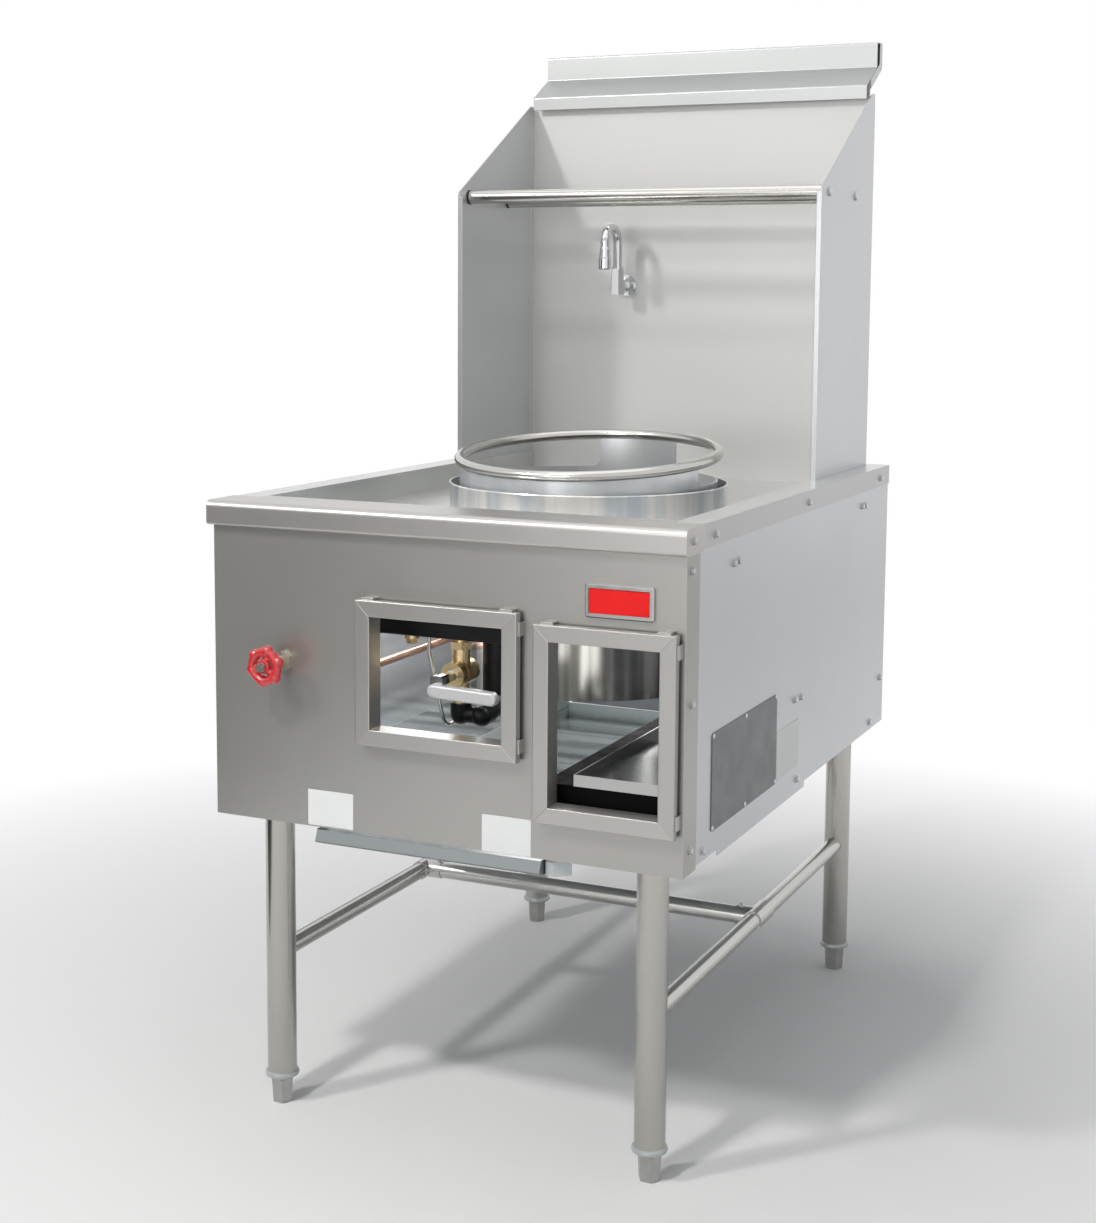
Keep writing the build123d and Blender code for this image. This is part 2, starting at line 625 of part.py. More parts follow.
def service_tray():
    """A lipped stainless tray on top of the service box."""
    x, y, z = (186, 335), (20, 325), (521.5, 536.5)
    inside = slab((x[0] + SHEET, x[1] - SHEET), (y[0] + SHEET, y[1] - SHEET), (z[0] + SHEET, z[1]))
    return slab(x, y, z) - inside


def drip_tray():
    """A shallow tray; its front edge folds over into a drooping pull."""
    t, floor = TRAY_SHEET, TRAY_FLOOR
    (x0, x1), back = TRAY_X, TRAY_BACK
    tray = slab((x0, x1), (-2, back), (floor, floor + t))
    for x in (x0, x1 - t):
        tray += slab((x, x + t), (-2, back), (floor, 425))
    tray += slab((x0, x1), (back - t, back), (floor, 433))
    tray += slab((x0, x1), (-2, -2 + t), (floor, 423))
    middle = (x0 + x1) / 2
    lip = [(-2, 424), (-8, 410), (-8, 408.5), (-6.8, 408.5), (-0.8, 422.5), (-0.8, 424)]
    return tray + cheek(lip, middle - 166, middle + 166)


def tray_guide():
    """Right guide: a hanging web, a ledge under the tray and a stop behind it."""
    web = TRAY_X[1] + GUIDE_GAP
    ledge = TRAY_X[1] - 12
    low = TRAY_FLOOR - 0.3 - TRAY_SHEET
    guide = slab((web, web + TRAY_SHEET), (22, 834), (low, FLOOR_TOP - SHEET))
    guide += slab((ledge, web + TRAY_SHEET), (5, 834), (low, low + TRAY_SHEET))
    guide += slab((ledge, web + TRAY_SHEET), (TRAY_BACK + 1, TRAY_BACK + 2.2), (low, 428))
    return guide + slab((web, 186), (22, 834), (FLOOR_TOP - 2 * SHEET, FLOOR_TOP - SHEET))


def right_tray_guide():
    """The right guide has a splayed front that shows beside the tray."""
    web = TRAY_X[1] + GUIDE_GAP
    low = TRAY_FLOOR - 0.3 - TRAY_SHEET
    splay = FilletPolyline((web + 0.6, 30), (web + 0.6, 5.6), (165, 5.6), (186, 17.6), radius=[1.5, 3])
    return tray_guide() + extrude(Plane.XY.offset(low) * trace(splay, TRAY_SHEET), 19)


def left_tray_guide():
    """The plain guide, mirrored about the tray's own middle."""
    return mirror(tray_guide(), about=Plane.YZ.offset(sum(TRAY_X) / 2))


# ---- legs ----
def at_legs(piece):
    """Four copies of a piece that is drawn on the z axis, one at each leg."""
    return Compound(children=[
        Pos(side * LEG_X, depth, 0) * piece for side in (-1, 1) for depth in LEG_DEPTHS.values()
    ])


def leg():
    return rod((0, 0, INSERT[1]), (0, 0, LEG_TOP), LEG_RADIUS, LEG_RADIUS - LEG_WALL)


def leg_sockets():
    """A flanged socket over each leg, screwed up to the floor plate."""
    inner, base, flange = LEG_RADIUS + 0.1, FLOOR_TOP - SHEET, 36
    return at_legs(turned(
        [(0, LEG_TOP), (inner, LEG_TOP), (inner, PANEL_BOTTOM), (inner + 3.2, PANEL_BOTTOM),
         (inner + 3.2, LEG_TOP), (flange, LEG_TOP), (flange, base), (0, base)]))


def leg_inserts():
    """A turned insert under each leg: a rounded bead, and a threaded spigot inside the leg."""
    low, high = INSERT
    middle = (low + high) / 2
    spigot = LEG_RADIUS - LEG_WALL - 0.1
    bead = [(21, low), (23, low + 1.2), (24, middle), (23, high - 1.2), (21, high)]
    top = high + 22
    return at_legs(turned([(8 + FIT, low), *bead, (spigot, high), (spigot, top), (8 + FIT, top)]))


def foot():
    """A screw foot: a tapered hexagon, and the screw that runs up into the leg."""
    top = INSERT[0] - 0.5
    sole = Plane.XY * RegularPolygon(12.5, 6, major_radius=False)
    shoulder = Plane.XY.offset(top - 3) * RegularPolygon(14.5, 6, major_radius=False)
    body = chamfer(loft([sole, shoulder]).faces().sort_by(Axis.Z)[0].edges(), 1.5)
    body += turned([(0, top - 3), (14.5, top - 3), (14.5, top - 1), (13, top), (0, top)])
    return body + rod((0, 0, top), (0, 0, top + 50), 8)


def side_tube():
    """Right lower tube, from the front leg to the back leg."""
    front, back = LEG_DEPTHS["front"], LEG_DEPTHS["back"]
    ends = (LEG_X, front, BRACE_HEIGHT), (LEG_X, back, BRACE_HEIGHT)
    tube = rod(*ends, BRACE_RADIUS, BRACE_RADIUS - SHEET)
    for depth in (front, back):
        tube -= rod((LEG_X, depth, BRACE_HEIGHT - 30), (LEG_X, depth, BRACE_HEIGHT + 30), LEG_RADIUS)
    return tube


def cross_tube():
    end = LEG_X - SOCKET_STOP
    level = (CROSS_DEPTH, BRACE_HEIGHT)
    return rod((-end, *level), (end, *level), BRACE_RADIUS, BRACE_RADIUS - SHEET)


def brace_sleeves():
    """A T-shaped sleeve at each side, held by a set screw, where the cross tube meets the side."""
    outer, bore = 14.6, BRACE_RADIUS + FIT

    def along(front, back, radius):
        return rod((LEG_X, front, BRACE_HEIGHT), (LEG_X, back, BRACE_HEIGHT), radius)

    def arm(start, stop, radius):
        return rod((start, CROSS_DEPTH, BRACE_HEIGHT), (stop, CROSS_DEPTH, BRACE_HEIGHT), radius)

    front, back = CROSS_DEPTH - 20, CROSS_DEPTH + 40
    sleeve = along(front, back, outer) + arm(LEG_X - 32, LEG_X, outer - 0.5)
    sleeve -= along(front - 1, back + 1, bore)
    screw_x, screw_top = LEG_X - 25, BRACE_HEIGHT + outer + 4
    screw = rod((screw_x, CROSS_DEPTH, BRACE_HEIGHT), (screw_x, CROSS_DEPTH, screw_top), 3.2)
    return both_sides(sleeve + screw - arm(LEG_X - 33, LEG_X - SOCKET_STOP, bore))


# ---- splash guard ----
def splash_back():
    """The rear wall: its sides fold forwards along the wings, its foot reaches into the deck."""
    inner = WING_FACE - SHEET
    wall = slab((-inner, inner), (WALL_FACE, WALL_FACE + SHEET), (RIM_TOP, WALL_TOP))
    fold = inner - SHEET
    corner = slab((fold, inner), (WALL_FACE - 12, WALL_FACE), (RIM_TOP, RETURN_TOP))
    corner += rod((fold, WALL_FACE, RIM_TOP), (fold, WALL_FACE, RETURN_TOP), SHEET)
    wall += both_sides(corner)
    foot_half = RECESS_HALF_WIDTH - 0.2
    wall += slab((-foot_half, foot_half), (WALL_FACE, WALL_FACE + SHEET), (RECESS_FLOOR, RIM_TOP))
    wall -= both_sides(slab((GUARD_HALF_WIDTH, WING_FACE), (930, 945), (WING_TOP - 2, 1500)))
    x, _, z = FAUCET
    return wall - rod((x, 930, z), (x, 945, z), 8.5)


def splash_wing():
    """Right wing: a sheet with a sloping top, a hem at its front and a return behind the wall."""
    back = WALL_FACE + SHEET
    inner = WING_FACE - SHEET
    outline = [(WING_FRONT, RIM_TOP), (back, RIM_TOP), (back, WING_TOP), (925, WING_TOP)]
    wing = cheek([*outline, (WING_FRONT, WING_TIP)], inner, WING_FACE)
    tip = wing.edges().filter_by(Axis.X).group_by(Axis.Y)[0].sort_by(Axis.Z)[-1]
    wing = fillet(tip, 6)
    wing += slab((inner - 6.5, inner), (WING_FRONT, WING_FRONT + SHEET), (RIM_TOP, WING_TIP - 6))
    wing += slab((inner - 14, WING_FACE), (back, back + SHEET), (RIM_TOP, RETURN_TOP + 5))
    for depth in RACK_DEPTHS:
        wing -= rod((inner - 1, depth, RACK_HEIGHT), (WING_FACE + 1, depth, RACK_HEIGHT), 4)
    return wing


def guard_line(y):
    """Height of the guard's slope, on the middle of its sheet."""
    return 1480.2 + (y - 920.75) * 35.1 / 60


def top_guard():
    """The front skin: a lip, a slope up and back, an upright face and a top return."""
    top, back = GUARD_TOP - SHEET / 2, GUARD_BACK
    slope = [(y, guard_line(y)) for y in (920.75, 980.75)]
    points = [(slope[0][0], 1459), *slope, (slope[1][0], top), (back, top)]
    return folded(points, [BEND, BEND, BEND], GUARD_HALF_WIDTH)


def guard_back():
    """The rear skin below and behind it, with a cheek on each end."""
    middle, back = SHEET / 2, GUARD_BACK - SHEET / 2
    wall = WALL_FACE + SHEET + middle
    drop = 15.0
    points = [
        (wall, 1456), (wall, guard_line(wall) - drop), (back, guard_line(back) - drop),
        (back, GUARD_TOP - SHEET),
    ]
    skin = folded(points, [BEND, BEND], GUARD_HALF_WIDTH)
    slot_back = back - 13
    outline = [
        (wall, guard_line(wall) - drop), (back + middle, guard_line(back) - drop),
        (back + middle, GUARD_TOP), (slot_back, GUARD_TOP),
        (slot_back, guard_line(slot_back)), (wall, guard_line(wall)),
    ]
    return skin + both_sides(cheek(outline, GUARD_HALF_WIDTH, GUARD_HALF_WIDTH + SHEET))


def rack_tubes():
    """Two cross tubes for utensils, plugged and tapped at both ends."""
    end = WING_FACE - SHEET
    tubes = []
    for depth in RACK_DEPTHS:
        tube = rod((-end, depth, RACK_HEIGHT), (end, depth, RACK_HEIGHT), RACK_RADIUS)
        tube -= rod((12 - end, depth, RACK_HEIGHT), (end - 12, depth, RACK_HEIGHT), RACK_RADIUS - 1.2)
        for side in (-1, 1):
            tube -= rod((side * (end - 9), depth, RACK_HEIGHT), (side * end, depth, RACK_HEIGHT), 4)
        tubes.append(tube)
    return Compound(children=tubes)


def rack_bolts():
    """Dome-headed bolts through the wings into the rack tubes."""
    shank_end = WING_FACE - 9
    bolts = []
    for depth in RACK_DEPTHS:
        bolt = rod((shank_end, depth, RACK_HEIGHT), (WING_FACE, depth, RACK_HEIGHT), 4)
        head = rod((WING_FACE, depth, RACK_HEIGHT), (WING_FACE + 4, depth, RACK_HEIGHT), 7)
        bolts.append(bolt + fillet(head.faces().sort_by(Axis.X)[-1].edges(), 2.5))
    return Compound(children=[*bolts, *[mirrored(bolt) for bolt in bolts]])


# ---- faucet ----
def faucet_body():
    """A wall flange, a short arm and an upright tapered hexagon that the spout turns in."""
    x, y, z = FAUCET
    flange = Plane(origin=(x, WALL_FACE, z), z_dir=(0, -1, 0))
    body = flange * (Pos(0, 0, 2) * Cylinder(18, 4))
    body += flange * (Pos(0, 0, 8) * Cone(13, 10, 8))
    body += rod((x, WALL_FACE + 10, z), (x, WALL_FACE, z), 8.4)
    body += rod((x, WALL_FACE, z), (x, y, z), 9)
    base, top = 1140.0, 1188.0
    lower = Plane.XY.offset(base) * (Pos(x, y) * RegularPolygon(13, 6))
    upper = Plane.XY.offset(top - 4) * (Pos(x, y) * RegularPolygon(11, 6))
    body += loft([lower, upper])
    body += rod((x, y, top - 4), (x, y, top), 9.5)
    return body - rod((x, y, top - 10), (x, y, top + 1), SPOUT_RADIUS + FIT)


def faucet_spout():
    """The swan neck: up, over in a half circle and down to a thicker outlet."""
    x, y, _ = FAUCET
    crown = SPOUT_TOP - SWAN_NECK
    top = SPOUT_TOP - SPOUT_RADIUS / 2
    reach = y - 2 * SWAN_NECK
    neck = pipe(
        [(x, y, 1178.5), (x, y, top), (x, reach, top), (x, reach, 1215)],
        SWAN_NECK - 0.5, SPOUT_RADIUS)
    outlet = turned([(0, 1203), (9.6, 1203), (9.2, 1216), (SPOUT_RADIUS, 1221), (0, 1221)], (x, reach))
    return neck + outlet


def faucet_aerator():
    """The round outlet piece, open below."""
    x, y, _ = FAUCET
    outlet = turned(
        [(0, 1203), (10.2, 1203), (10.8, 1201), (10.8, 1184), (9.8, 1182), (8, 1182), (8, 1190), (0, 1190)])
    return Pos(x, y - 2 * SWAN_NECK, 0) * outlet


# ---- all pieces ----
pieces = {
    "front_panel": front_panel(),
    "side_panel_right": side_panel(),
    "side_panel_left": mirrored(side_panel()),
    "back_panel": back_panel(),
    "deck": deck(),
    "front_rim": front_rim(),
    "window_frame_left": window_frame(LEFT_WINDOW),
    "window_frame_right": window_frame(RIGHT_WINDOW),
    "badge": badge(),
    "side_plate": side_plate(),
    "floor_plates": floor_plates(),
    "panel_screws": panel_screws(),
    "collar": collar(),
    "chamber_drum": chamber_drum(),
    "chamber_lining": chamber_lining(),
    "burner_body": burner_body(),
    "burner_jets": burner_jets(),
    "drum_shelves": drum_shelves(),
    "ring_hoop": ring_hoop(),
    "ring_skirt": ring_skirt(),
    "gas_manifold": gas_manifold(),
    "manifold_hangers": manifold_hangers(),
    "manifold_plug": manifold_plug(),
    "gas_valve_body": gas_valve_body(),
    "gas_stem": gas_stem(),
    "gas_lever": gas_lever(),
    "valve_elbows": valve_elbows(),
    "burner_pipe": burner_pipe(),
    "pilot_safety_valve": pilot_safety_valve(),
    "pilot_tube": pilot_tube(),
    "gas_inlet_pipe": gas_inlet_pipe(),
    "water_valve": water_valve(),
    "water_stem": water_stem(),
    "handwheel": handwheel(),
    "water_supply_pipe": water_supply_pipe(),
    "water_feed_pipe": water_feed_pipe(),
    "service_box": service_box(),
    "service_tray": service_tray(),
    "drip_tray": drip_tray(),
    "tray_guide_right": right_tray_guide(),
    "tray_guide_left": left_tray_guide(),
    "legs": at_legs(leg()),
    "leg_sockets": leg_sockets(),
    "leg_inserts": leg_inserts(),
    "side_tubes": both_sides(side_tube()),
    "cross_tube": cross_tube(),
    "brace_sleeves": brace_sleeves(),
    "splash_back": splash_back(),
    "splash_wings": both_sides(splash_wing()),
    "top_guard": top_guard(),
    "guard_back": guard_back(),
    "rack_tubes": rack_tubes(),
    "rack_bolts": rack_bolts(),
    "faucet_body": faucet_body(),
    "faucet_spout": faucet_spout(),
    "faucet_aerator": faucet_aerator(),
}
for name, shape in pieces.items():
    save(name, shape)
for side, x in (("left", -LEG_X), ("right", LEG_X)):
    for end, depth in LEG_DEPTHS.items():
        save(f"foot_{end}_{side}", Pos(x, depth, 0) * foot())
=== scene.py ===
from math import cos, pi, radians, sin

import bmesh
import bpy
from mathutils import Matrix, Vector

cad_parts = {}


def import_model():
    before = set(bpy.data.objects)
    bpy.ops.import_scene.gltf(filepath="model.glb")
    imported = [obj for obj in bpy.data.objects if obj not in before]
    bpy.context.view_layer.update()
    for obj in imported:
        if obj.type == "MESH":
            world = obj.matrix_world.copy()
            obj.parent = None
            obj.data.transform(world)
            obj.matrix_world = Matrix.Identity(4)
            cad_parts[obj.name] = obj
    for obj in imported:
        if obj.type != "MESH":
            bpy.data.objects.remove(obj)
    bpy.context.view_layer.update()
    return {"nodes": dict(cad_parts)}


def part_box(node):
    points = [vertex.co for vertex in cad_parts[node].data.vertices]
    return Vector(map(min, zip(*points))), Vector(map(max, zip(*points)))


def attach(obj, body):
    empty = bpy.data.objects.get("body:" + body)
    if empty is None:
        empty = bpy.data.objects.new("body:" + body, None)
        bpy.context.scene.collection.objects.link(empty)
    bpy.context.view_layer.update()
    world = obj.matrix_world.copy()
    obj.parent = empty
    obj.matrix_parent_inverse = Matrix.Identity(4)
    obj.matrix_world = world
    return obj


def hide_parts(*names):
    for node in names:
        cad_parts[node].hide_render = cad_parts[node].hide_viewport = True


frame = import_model()
NODES = frame["nodes"]

RIGHTWARD, BACKWARD, UPWARD = Vector((1, 0, 0)), Vector((0, 1, 0)), Vector((0, 0, 1))
PANEL_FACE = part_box("front_panel")[0].y


def at(x, depth, z):
    """A point from millimetres: x from the middle, depth behind the front panel's face, height."""
    return Vector((x / 1000, PANEL_FACE + depth / 1000, z / 1000))


# ---- how a material is made ----
NOISE_LOW, NOISE_HIGH = 0.3, 0.7       # most of a noise's values lie between these
BEVEL_SAMPLES = 6


class Paint:
    """A material with one shader, and short ways to add nodes to it."""

    def __init__(self, name, **sockets):
        self.material = bpy.data.materials.new(name)
        self.material.use_nodes = True
        self.tree = self.material.node_tree
        self.tree.nodes.clear()
        self.shader = self.add("ShaderNodeBsdfPrincipled")
        self.output = self.add("ShaderNodeOutputMaterial")
        self.link(self.shader.outputs["BSDF"], self.output.inputs["Surface"])
        self.place = self.add("ShaderNodeTexCoord").outputs["Object"]
        for socket, value in sockets.items():
            self.shader.inputs[socket.replace("_", " ")].default_value = value

    def add(self, kind, **settings):
        node = self.tree.nodes.new(kind)
        for name, value in settings.items():
            setattr(node, name, value)
        return node

    def link(self, start, end):
        self.tree.links.new(start, end)

    def stretched(self, scale):
        """The object's own coordinates, scaled apart along x, y and z."""
        mapping = self.add("ShaderNodeMapping")
        mapping.inputs["Scale"].default_value = scale
        self.link(self.place, mapping.inputs["Vector"])
        return mapping.outputs["Vector"]

    def noise(self, scale, detail, roughness=0.55, distortion=0.0):
        """Noise whose scale is one number, or three for a stretched grain."""
        even = isinstance(scale, (int, float))
        node = self.add("ShaderNodeTexNoise")
        node.inputs["Scale"].default_value = scale if even else 1.0
        node.inputs["Detail"].default_value = detail
        node.inputs["Roughness"].default_value = roughness
        node.inputs["Distortion"].default_value = distortion
        self.link(self.place if even else self.stretched(scale), node.inputs["Vector"])
        return node.outputs["Fac"]

    def ranged(self, value, low, high, start=NOISE_LOW, end=NOISE_HIGH):
        """The value's range start..end spread over low..high."""
        node = self.add("ShaderNodeMapRange")
        for name, number in (("From Min", start), ("From Max", end), ("To Min", low), ("To Max", high)):
            node.inputs[name].default_value = number
        self.link(value, node.inputs["Value"])
        return node.outputs["Result"]

    def added(self, first, second):
        node = self.add("ShaderNodeMath", operation="ADD")
        self.link(first, node.inputs[0])
        self.link(second, node.inputs[1])
        return node.outputs["Value"]

    def tint(self, factor, dark, light):
        """A colour between two, by a factor."""
        node = self.add("ShaderNodeMix", data_type="RGBA")
        self.link(factor, node.inputs["Factor"])
        node.inputs["A"].default_value = (*dark, 1)
        node.inputs["B"].default_value = (*light, 1)
        return node.outputs["Result"]

    def bump(self, height, strength, distance, edge=0.0):
        """Height as bump; with an edge radius, folds and cut edges catch the light as rounded ones do."""
        node = self.add("ShaderNodeBump")
        node.inputs["Strength"].default_value = strength
        node.inputs["Distance"].default_value = distance
        self.link(height, node.inputs["Height"])
        if edge:
            rounded = self.add("ShaderNodeBevel", samples=BEVEL_SAMPLES)
            rounded.inputs["Radius"].default_value = edge
            self.link(rounded.outputs["Normal"], node.inputs["Normal"])
        self.link(node.outputs["Normal"], self.shader.inputs["Normal"])


def scaled(colour, factor):
    return tuple(min(1.0, channel * factor) for channel in colour)


# Noise scales along x, y and z: a low one is the direction in which scratches or bands run.
GRAIN = {
    "upright": (900, 900, 9),
    "across": (9, 900, 900),
    "deep": (900, 9, 900),
    "none": (260, 260, 260),
    "soft": (50, 50, 50),
}
# Bands of tone that run upright: painted reflections on the polished collar, ring skirt and drum.
UPRIGHT_REFLECTION_BANDS = (30, 30, 0.5)
# Bands across the floor plates: partly their ribs, partly painted reflections.
FLOOR_BANDS = (0.7, 15, 15)
# Bands on the side panels' inner faces: painted reflections and painted shadow.
SIDE_REFLECTION_AND_SHADE_BANDS = (1, 1.2, 13)
CLOUD_SCALE = 3.0
SMUDGE_SCALE = 14.0
SMUDGE_GLOSS = 0.01                    # how far a smudge moves the roughness
SCRATCH_DEPTH = 0.0001
FOLD = 0.0012                          # radius at which folded sheet catches the light


def steel(name, colour, rough, grain="upright", metal=0.8, contrast=0.03, bumpy=0.012, bands=None,
          painted_light_warmth=0.0, edge=0.0, uneven=0.04):
    """Brushed sheet: fine scratches along the grain, with faint clouds in its tone; given bands, broad bands
    of tone instead, which paint in reflections and shade, and on the floor plates their ribs too.
    """
    paint = Paint(name, Metallic=metal)
    scratches = paint.noise(GRAIN[grain], detail=2.0)
    # Where bands are given, this noise draws bands of painted reflection and shade instead of clouds (on the
    # floor plates, their ribs too).
    clouds = paint.noise(bands or CLOUD_SCALE, detail=2.0)
    smudges = paint.noise(SMUDGE_SCALE, detail=3.0, roughness=0.5, distortion=0.4)
    cloud_share, half_range = (0.9, 0.1) if bands else (0.8, 0.2)
    tone = paint.added(paint.ranged(scratches, 0, 1 - cloud_share),
                       paint.ranged(clouds, 0, cloud_share, 0.5 - half_range, 0.5 + half_range))
    # The warmth tints the light side of the tone warm and the dark side cool: painted warm light and cool
    # shade in the reflection bands.
    red, green, blue = colour
    dark = scaled((red * (1 - painted_light_warmth), green, blue * (1 + painted_light_warmth)), 1 - contrast)
    light = scaled((red * (1 + painted_light_warmth), green, blue * (1 - painted_light_warmth)), 1 + contrast)
    paint.link(paint.tint(tone, dark, light), paint.shader.inputs["Base Color"])
    gloss = paint.added(paint.ranged(scratches, rough * (1 - uneven), rough * (1 + uneven)),
                        paint.ranged(smudges, -SMUDGE_GLOSS, SMUDGE_GLOSS))
    paint.link(gloss, paint.shader.inputs["Roughness"])
    paint.bump(scratches, bumpy, SCRATCH_DEPTH, edge)
    return paint.material


GRIT_FINENESS = 12                     # grit is this many times finer than the mottle
GRIT_DEPTH = 0.0003
ROUGHNESS_SPREAD = 0.2
COAT_ROUGHNESS = 0.08


def coated(name, colour, rough, mottle=0.12, scale=60.0, bumpy=0.2, metal=0.0, coat=0.0, specular=0.5):
    """Paint, enamel, plating or cast metal: a mottled tone and an uneven skin."""
    paint = Paint(name, Metallic=metal, Coat_Weight=coat, Coat_Roughness=COAT_ROUGHNESS,
                  Specular_IOR_Level=specular)
    patches = paint.noise(scale, detail=4.0, roughness=0.6)
    grit = paint.noise(scale * GRIT_FINENESS, detail=2.0)
    tone = paint.tint(paint.ranged(patches, 0, 1), scaled(colour, 1 - mottle), scaled(colour, 1 + mottle))
    paint.link(tone, paint.shader.inputs["Base Color"])
    gloss = paint.ranged(patches, rough * (1 - ROUGHNESS_SPREAD), rough * (1 + ROUGHNESS_SPREAD))
    paint.link(gloss, paint.shader.inputs["Roughness"])
    paint.bump(grit, bumpy, GRIT_DEPTH)
    return paint.material


# ---- the materials ----
# Where a roughness crosses 0.274, the denoiser draws scratches as streaks. The front's sheets stay above it.
FRONT_SHEETS = {
    "front": steel("front_brushed", (0.40, 0.395, 0.376), 0.30, metal=0.70, contrast=0.02, bumpy=0.006),
    "nose": steel("nose_brushed", (0.50, 0.49, 0.47), 0.30, "across", contrast=0.01, bumpy=0.002,
                  uneven=0.015),
    "frame": steel("frame_across", (0.455, 0.443, 0.425), 0.30, "across", metal=0.74, contrast=0.02,
                   bumpy=0.004, edge=0.001, uneven=0.02),
    "stile": steel("frame_upright", (0.435, 0.423, 0.405), 0.30, metal=0.74, contrast=0.02, bumpy=0.004,
                   edge=0.001, uneven=0.02),
}
CABINET_SHEETS = {
    "side": steel("side_satin", (0.54, 0.55, 0.57), 0.34),
    # The side panels' inner faces: a lighter copy of the side sheet, with bands of painted reflection and
    # painted shadow.
    "inner": steel("inner_sheet_painted_light_and_shade", (0.62, 0.635, 0.65), 0.14, metal=0.6, contrast=0.42, bumpy=0.004,
                   bands=SIDE_REFLECTION_AND_SHADE_BANDS),
    # Painted shade: the back panel's inside face and the strip below it are coloured dark for the shade
    # inside the cabinet.
    "shade": steel("inner_back_painted_shade", (0.16, 0.17, 0.185), 0.20, contrast=0.1, bumpy=0.004),
    "back": steel("back_satin", (0.46, 0.47, 0.48), 0.38),
    "deck": steel("deck_semi_bright", (0.65, 0.66, 0.65), 0.24, "deep", metal=0.74, contrast=0.015,
                  bumpy=0.006),
    "skirt": steel("skirt_brushed", (0.47, 0.47, 0.47), 0.34, "deep"),
}
CHAMBER_SHEETS = {
    # Collar, ring skirt and drum: bands of tone that are painted reflections, warm where lit and cool in
    # shade.
    "collar": steel("collar_bright", (0.77, 0.785, 0.80), 0.18, metal=0.72, contrast=0.20, bumpy=0.006,
                    bands=UPRIGHT_REFLECTION_BANDS, painted_light_warmth=0.06),
    "ring": steel("ring_skirt_bright", (0.74, 0.765, 0.785), 0.25, metal=0.6, contrast=0.05, bumpy=0.004,
                  bands=UPRIGHT_REFLECTION_BANDS, painted_light_warmth=0.01),
    "drum": steel("drum_bright", (0.60, 0.59, 0.575), 0.15, metal=0.9, contrast=0.66, bumpy=0.01,
                  bands=UPRIGHT_REFLECTION_BANDS, painted_light_warmth=0.05),
    "heat": coated("heat_darkened", (0.16, 0.15, 0.14), 0.5, mottle=0.15, scale=40, metal=0.8),
    "refractory": coated("refractory", (0.20, 0.18, 0.155), 0.9, mottle=0.2, bumpy=0.8),
}
SPLASH_SHEETS = {
    "wall": steel("wall_satin", (0.65, 0.648, 0.634), 0.40, "across", metal=0.35, contrast=0.02),
    "wings": steel("wings_satin", (0.51, 0.525, 0.54), 0.30, edge=FOLD),
    # Painted light: the wings' inner faces are a lighter copy of the wings' sheet.
    "wing_inner": steel("wing_inner_painted_light", (0.62, 0.635, 0.645), 0.32, metal=0.7, edge=FOLD),
    "guard": steel("guard_satin", (0.48, 0.492, 0.488), 0.34, "across", edge=FOLD),
}
TUBES = {
    "tube": steel("tube_polished", (0.60, 0.59, 0.56), 0.16, "across", metal=0.95),
    "hoop": steel("hoop_polished", (0.55, 0.543, 0.52), 0.20, "soft", metal=0.92, contrast=0.02,
                  bumpy=0.001),
    "leg": steel("leg_satin", (0.46, 0.448, 0.42), 0.20, metal=0.95),
    "brace": steel("brace_satin", (0.55, 0.545, 0.525), 0.22, "deep", metal=0.9),
    "foot": coated("foot_casting", (0.42, 0.42, 0.41), 0.36, mottle=0.08, scale=70, bumpy=0.15, metal=0.9),
}
TRAYS = {
    "zinc": steel("zinc_sheet", (0.44, 0.475, 0.48), 0.30, "none", metal=0.25, contrast=0.05),
    # Floor plates: strong bands of tone, partly ribs and partly painted reflections.
    "plates": steel("zinc_floor_ribs_and_reflections", (0.32, 0.35, 0.352), 0.20, "none", metal=0.55, contrast=0.62, bumpy=0.01,
                    bands=FLOOR_BANDS),
    # Painted shade: the drip tray's lip, which faces forward and down, is a darker copy of the zinc.
    "tray": steel("tray_lip_painted_shade", (0.19, 0.21, 0.21), 0.34, "across", metal=0.6, contrast=0.05),
    "bright": steel("tray_bright", (0.46, 0.46, 0.455), 0.20, "across", metal=1.0),
    "box": coated("box_black", (0.0025, 0.003, 0.003), 0.6, mottle=0.2, scale=50, bumpy=0.1,
                  specular=0.05),
}
FITTINGS = {
    "chrome": coated("chrome_plate", (0.72, 0.73, 0.74), 0.10, mottle=0.02, scale=30, bumpy=0.01,
                     metal=1.0),
    "brass": coated("brass_turned", (0.80, 0.62, 0.34), 0.25, mottle=0.04, scale=40, bumpy=0.01,
                    metal=0.8),
    "copper": coated("copper_tube", (0.60, 0.37, 0.28), 0.22, mottle=0.025, scale=20, bumpy=0.01,
                     metal=0.85),
    "pilot": coated("drawn_tube", (0.56, 0.56, 0.54), 0.24, mottle=0.06, bumpy=0.03, metal=0.9),
    "black": coated("black_enamel", (0.006, 0.007, 0.008), 0.38, mottle=0.2, scale=50, bumpy=0.1,
                    specular=0.25),
    "cast": coated("cast_skin", (0.05, 0.046, 0.042), 0.62, mottle=0.3, scale=80, bumpy=0.5, metal=0.4),
    "lever": coated("lever_paint", (0.55, 0.56, 0.56), 0.35, mottle=0.02, bumpy=0.015, metal=0.3,
                    coat=0.15),
    "red": coated("red_enamel", (0.55, 0.016, 0.022), 0.22, mottle=0.10, bumpy=0.12, coat=1.0,
                  specular=0.4),
    "nickel": coated("nickel_plate", (0.50, 0.46, 0.38), 0.36, mottle=0.05, bumpy=0.02, metal=0.7),
    "nut": coated("nut_zinc", (0.46, 0.46, 0.43), 0.26, mottle=0.06, bumpy=0.02, metal=0.85),
    "screw": coated("screw_zinc", (0.52, 0.53, 0.53), 0.24, mottle=0.03, bumpy=0.02, metal=0.95),
}
